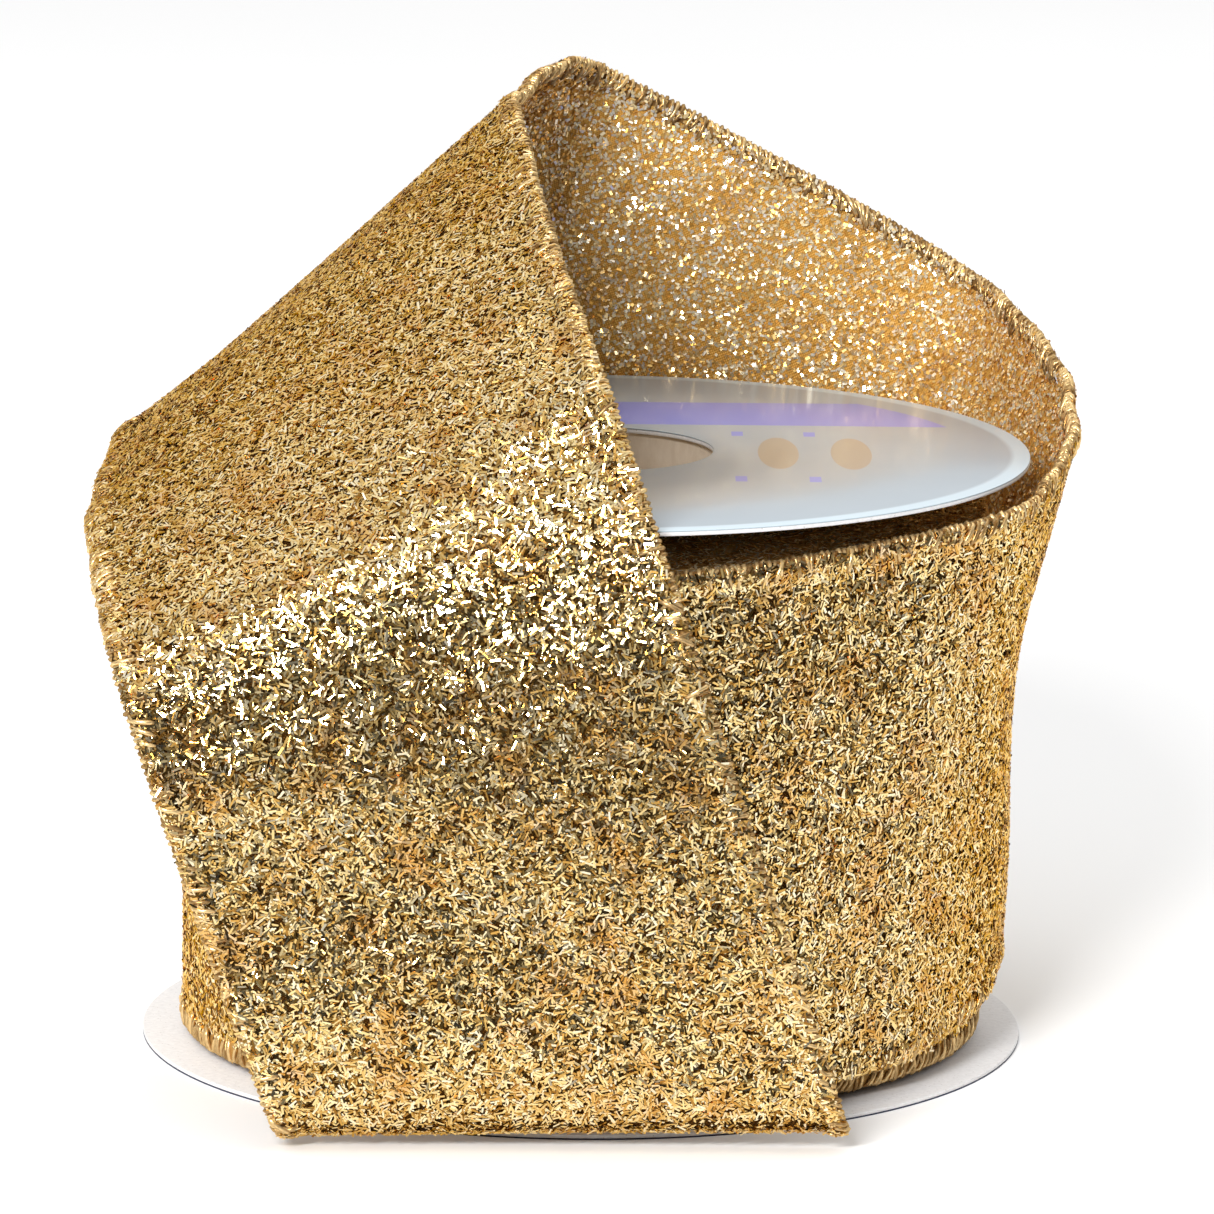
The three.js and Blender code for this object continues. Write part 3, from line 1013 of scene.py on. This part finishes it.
def greyboard():
    material, tree, shader = new_material("greyboard")
    fibre = fibre_in(tree, 1400.0)
    colour = ramp(tree, fibre["Height"], [(0.3, (0.72, 0.71, 0.71)), (0.7, (0.86, 0.85, 0.85))])
    flecked = mix_colour(tree, fibre["Fleck"], colour, (0.5, 0.47, 0.45, 1))
    tree.links.new(flecked, shader.inputs["Base Color"])
    add_bump(tree, shader, fibre["Height"], 0.15, 0.0001)
    shader.inputs["Roughness"].default_value = 0.55
    return material


BAND = (17 * MM, 33 * MM)
BAND_RADIUS = 47 * MM
LAVENDER = (0.2, 0.235, 0.66, 1)
ROW_START = 17.5 * MM
ROW_PITCH = 8.7 * MM
OVAL_SHARE = 0.62
OVAL_HALF_SHARE = 0.28
OVAL_SHIFT = 2 * MM
OVAL_HALF = 10.5 * MM
BEIGE = (0.36, 0.3, 0.24, 1)
TICK_ROWS = ((9.5 * MM, 12.5 * MM), (-21 * MM, -17.5 * MM))
TICK_SHARE = 0.16
RIM_LINE = (50.5 * MM, 51.2 * MM)


def printed_label():
    material, tree, shader = new_material("printed_label")
    where = add(tree, "ShaderNodeTexCoord").outputs["Object"]
    parts = add(tree, "ShaderNodeSeparateXYZ", {"Vector": where})
    flat = add(tree, "ShaderNodeVectorMath", {0: where, 1: (1, 1, 0)}, operation="MULTIPLY")
    radius = add(tree, "ShaderNodeVectorMath", {0: flat.outputs[0]}, operation="LENGTH").outputs["Value"]
    fibre = fibre_in(tree, 700.0)
    ground = ramp(tree, fibre["Cloud"], [(0.3, (0.31, 0.365, 0.41)), (0.7, (0.35, 0.405, 0.45))])

    def maths(operation, first, second=0.0):
        return add(tree, "ShaderNodeMath", {0: first, 1: second}, operation=operation).outputs[0]

    def within(value, least, most):
        return maths("MULTIPLY", maths("GREATER_THAN", value, least), maths("LESS_THAN", value, most))

    def squared(value):
        return maths("POWER", maths("ABSOLUTE", value), 2.0)

    across, up = parts.outputs["X"], parts.outputs["Y"]
    band = maths("MULTIPLY", within(up, *BAND), maths("LESS_THAN", radius, BAND_RADIUS))
    printed = mix_colour(tree, band, ground, LAVENDER)
    row = within(across, ROW_START, ROW_START + 2 * ROW_PITCH)
    share = maths("FRACT", maths("DIVIDE", maths("SUBTRACT", across, ROW_START), ROW_PITCH))
    aside = squared(maths("DIVIDE", maths("SUBTRACT", share, OVAL_SHARE), OVAL_HALF_SHARE))
    off = squared(maths("DIVIDE", maths("ADD", up, OVAL_SHIFT), OVAL_HALF))
    dot = maths("MULTIPLY", row, maths("LESS_THAN", maths("ADD", aside, off), 1.0))
    printed = mix_colour(tree, dot, printed, BEIGE)
    heights = maths("ADD", within(up, *TICK_ROWS[0]), within(up, *TICK_ROWS[1]))
    tick = maths("MULTIPLY", maths("MULTIPLY", row, heights), maths("LESS_THAN", share, TICK_SHARE))
    banded = mix_colour(tree, tick, printed, LAVENDER)
    rim = add(tree, "ShaderNodeMapRange", {"Value": radius, "From Min": RIM_LINE[0], "From Max": RIM_LINE[1]})
    rimmed = mix_colour(tree, rim.outputs[0], banded, (0.52, 0.62, 0.68, 1))
    tree.links.new(rimmed, shader.inputs["Base Color"])
    add_bump(tree, shader, fibre["Height"], 0.05, 0.00005)
    shader.inputs["Roughness"].default_value = 0.3
    shader.inputs["Coat Weight"].default_value = 0.4
    shader.inputs["Coat Roughness"].default_value = 0.15
    return material


def dark_print():
    material, tree, shader = new_material("dark_print")
    fibre = fibre_in(tree, 700.0)
    colour = ramp(tree, fibre["Cloud"], [(0.3, (0.012, 0.016, 0.05)), (0.7, (0.02, 0.026, 0.075))])
    tree.links.new(colour, shader.inputs["Base Color"])
    add_bump(tree, shader, fibre["Height"], 0.1, 0.00005)
    shader.inputs["Roughness"].default_value = 0.45
    return material


SEAM_PITCH = 0.034
SEAM_SHARE = 0.018


def kraft():
    material, tree, shader = new_material("kraft_paper")
    where = add(tree, "ShaderNodeTexCoord").outputs["Object"]
    parts = add(tree, "ShaderNodeSeparateXYZ", {"Vector": where})
    fibre = fibre_in(tree, 900.0, (1, 1, 0.35))
    colour = ramp(tree, fibre["Height"], [(0.3, (0.74, 0.62, 0.48)), (0.7, (0.86, 0.75, 0.61))])
    angle = add(tree, "ShaderNodeMath", {0: parts.outputs["Y"], 1: parts.outputs["X"]}, operation="ARCTAN2")
    turn_part = add(tree, "ShaderNodeMath", {0: angle.outputs[0], 1: 1 / (2 * math.pi)}, operation="MULTIPLY")
    climb = add(tree, "ShaderNodeMath", {0: parts.outputs["Z"], 1: 1 / SEAM_PITCH}, operation="MULTIPLY")
    helix = add(tree, "ShaderNodeMath", {0: turn_part.outputs[0], 1: climb.outputs[0]}, operation="ADD")
    phase = add(tree, "ShaderNodeMath", {0: helix.outputs[0]}, operation="FRACT")
    seam = add(tree, "ShaderNodeMath", {0: phase.outputs[0], 1: SEAM_SHARE}, operation="LESS_THAN")
    seamed = mix_colour(tree, seam.outputs[0], colour, (0.3, 0.2, 0.12, 1))
    tree.links.new(seamed, shader.inputs["Base Color"])
    add_bump(tree, shader, fibre["Height"], 0.3, 0.0001)
    shader.inputs["Roughness"].default_value = 0.7
    return material


def clear_tape():
    material, tree, shader = new_material("clear_tape")
    fibre = fibre_in(tree, 300.0)
    colour = ramp(tree, fibre["Cloud"], [(0.3, (0.75, 0.68, 0.5)), (0.7, (0.85, 0.78, 0.6))])
    tree.links.new(colour, shader.inputs["Base Color"])
    add_bump(tree, shader, fibre["Cloud"], 0.3, 0.00005)
    shader.inputs["Roughness"].default_value = 0.2
    shader.inputs["Alpha"].default_value = 0.6
    return material


GREYBOARD = greyboard()
LABEL = printed_label()
DARK_PRINT = dark_print()
KRAFT = kraft()
TAPE = clear_tape()

# %% [markdown]
# ## Flanges and core
#
# A die cuts the boards, so their edges are nearly square, with a small rounding. Each disc is a small
# closed profile turned about the reel's axis. The model's discs have 64 sides, which shows on a rim this
# large, so these have 192. The upper board and its label are warped by up to a tenth of a millimetre, as
# board is.

# %% Discs
def disc_profile(bottom, top, inner, outer, rounding):
    r = rounding
    return [
        (inner + r, bottom),
        (outer - r, bottom),
        (outer - 0.3 * r, bottom + 0.3 * r),
        (outer, bottom + r),
        (outer, top - r),
        (outer - 0.3 * r, top - 0.3 * r),
        (outer - r, top),
        (inner + r, top),
        (inner + 0.3 * r, top - 0.3 * r),
        (inner, top - r),
        (inner, bottom + r),
        (inner + 0.3 * r, bottom + 0.3 * r),
    ]


def disc(name, low, high, material, rounding, inner=HOLE_RADIUS, outer=FLANGE_RADIUS, warp=None):
    thing = turned(name, disc_profile(low, high, inner, outer, rounding), warp)
    face_outwards(thing)
    thing.data.set_sharp_from_angle(angle=math.radians(35))
    thing.data.materials.append(material)
    return thing


WARP_HEIGHT = 0.1 * MM
WARP_LENGTH_X = 0.021
WARP_LENGTH_Y = 0.025


def board_warp(x, y):
    waves = WARP_HEIGHT * np.sin(x / WARP_LENGTH_X + 1) * np.cos(y / WARP_LENGTH_Y)
    return waves * np.hypot(x, y) / FLANGE_RADIUS


top_board = disc("top_board", top_board_low.z, top_board_high.z, GREYBOARD, 0.16 * MM, warp=board_warp)
top_label = disc("top_label", label_low.z, label_high.z, LABEL, 0.08 * MM, warp=board_warp)
foot_board = disc("bottom_board", bottom_board_low.z, bottom_board_high.z, GREYBOARD, 0.16 * MM)
foot_label = disc("bottom_label", foot_low.z, foot_high.z, DARK_PRINT, 0.08 * MM)

# %% Core
core = disc("core", core_low.z, core_high.z, KRAFT, 0.15 * MM, CORE_INNER, CORE_OUTER)
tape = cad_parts["start_tape"]
tape.data.materials.clear()
tape.data.materials.append(TAPE)

# %% [markdown]
# ## What moves with what
#
# Reel, pack and wound flecks belong to the spool. The loose turn can be turned round the reel, as when
# ribbon is drawn off. The tail's cloth, beads, stitches and flecks stay where they are built.

# %% Bodies and replaced solids
for piece, node in (
    (top_board, "top_flange_board"),
    (top_label, "top_flange_label"),
    (foot_board, "bottom_flange_board"),
    (foot_label, "bottom_flange_label"),
    (core, "core_tube"),
):
    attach(piece, "spool")
    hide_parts(node)
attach(wound_ribbon, "spool")
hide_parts("wound_cloth", "wound_lower_edges", "wound_upper_edges")
wound_ribbon.data.materials.append(CLOTH_WOUND_PAINTED_LIGHT)
for piece in (wound_face, wound_end, *wound_stitches.values()):
    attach(piece, "spool")

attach(loose_cloth, "loose_turn")
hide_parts("loose_turn_cloth", "loose_turn_lower_wire", "loose_turn_upper_wire")
for piece in (loose_face_front, loose_face_rear, loose_back):
    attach(piece, "loose_turn")


def bend_with_tail(piece):
    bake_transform(piece)


bend_with_tail(tail_cloth)
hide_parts("tail_cloth", "tail_lower_wire", "tail_upper_wire")
for piece in (tail_face_upper, tail_face_lower, tail_back):
    bend_with_tail(piece)
for edge in ("lower", "upper"):
    for piece in (beads[f"loose_turn_{edge}"], stitches[f"loose_turn_{edge}"]):
        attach(piece, "loose_turn")
    for piece in (beads[f"tail_{edge}"], stitches[f"tail_{edge}"]):
        bend_with_tail(piece)
    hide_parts(f"loose_turn_{edge}_binding")
    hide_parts(f"tail_{edge}_binding")

# %% [markdown]
# The ribbon is one sheet in three stretches.


# %% [markdown]
# ## Light
#
# Metal shows what it reflects, so the light matters more here than the colour. A white room would make
# the flecks flat and pale. So the room is bright overhead and behind, and dark in front near the horizon,
# as a studio is on the camera's side. One strong strip lamp, rolled so that its left end is lower, lights
# up only the flecks that tip towards it. That gives the bright sparkling band where the ribbon turns. The
# floor is white round the reel and falls off to grey in front of it, so the low part of the ribbon
# glows and the part above it keeps dark gaps.

# %% Floor
def floor_material():
    material, tree, shader = new_material("floor")
    where = add(tree, "ShaderNodeTexCoord").outputs["Object"]
    noise = add(tree, "ShaderNodeTexNoise", {"Vector": where, "Scale": 3, "Detail": 2})
    pale = ramp(tree, noise.outputs["Fac"], [(0.3, (0.96, 0.96, 0.96)), (0.7, (0.98, 0.98, 0.98))])
    forward = add(tree, "ShaderNodeSeparateXYZ", {"Vector": where}).outputs["Y"]
    near = add(tree, "ShaderNodeMapRange", {"Value": forward, "From Min": -0.26, "From Max": -0.1})
    fading = mix_colour(tree, near.outputs[0], (0.22, 0.22, 0.22, 1), pale)
    tree.links.new(fading, shader.inputs["Base Color"])
    shader.inputs["Roughness"].default_value = 0.8
    shader.inputs["Specular IOR Level"].default_value = 0.1
    return material


FLOOR_SIZE = 14.0
half = FLOOR_SIZE / 2
floor_corners = [(-half, -half, 0), (half, -half, 0), (half, half, 0), (-half, half, 0)]
floor = new_object("floor", floor_corners, [(0, 1, 2, 3)])
floor.data.materials.append(floor_material())


# %% Surroundings
def grey(value):
    return (value, value, value)


world = bpy.data.worlds.new("room")
bpy.context.scene.world = world
world.use_nodes = True
room = world.node_tree
direction = add(room, "ShaderNodeTexCoord").outputs["Generated"]
parts = add(room, "ShaderNodeSeparateXYZ", {"Vector": direction}).outputs
behind = ramp(room, parts["Z"], [(0.0, grey(0.75)), (0.2, grey(0.8)), (0.6, grey(0.95)), (1.0, grey(1))])
ahead = ramp(room, parts["Z"], [(0.0, grey(0.02)), (0.4, grey(0.07)), (0.75, grey(0.75)), (1.0, grey(1))])
side_share = add(room, "ShaderNodeMapRange", {"Value": parts["Y"], "From Min": -0.5, "From Max": 0.4})
background = room.nodes["Background"].inputs
room.links.new(mix_colour(room, side_share.outputs[0], ahead, behind), background["Color"])
background["Strength"].default_value = 1.06


# %% Lamps
def lamp(name, way, distance, width, height, radiance, roll=0.0):
    """An oblong lamp that faces the reel from the direction `way`, rolled about the line between them."""
    aim = Vector((0, 0, 0.06))
    data = bpy.data.lights.new(name, "AREA")
    data.shape = "RECTANGLE"
    data.size = width
    data.size_y = height
    data.energy = radiance * math.pi * width * height
    light = bpy.data.objects.new(name, data)
    light.location = aim + Vector(way).normalized() * distance
    light.rotation_euler = (aim - light.location).to_track_quat("-Z", "Y").to_euler()
    light.rotation_euler.rotate_axis("Z", roll)
    bpy.context.scene.collection.objects.link(light)
    return light


lamp(
    "key",
    way=(-0.3, -0.82, 0.45),
    distance=1.3,
    width=0.58,
    height=0.13,
    radiance=80,
    roll=math.radians(38),
)
lamp("overhead", way=(0.1, 0.3, 1), distance=1.4, width=0.9, height=0.9, radiance=1.2)

bpy.context.scene.view_settings.view_transform = "Standard"
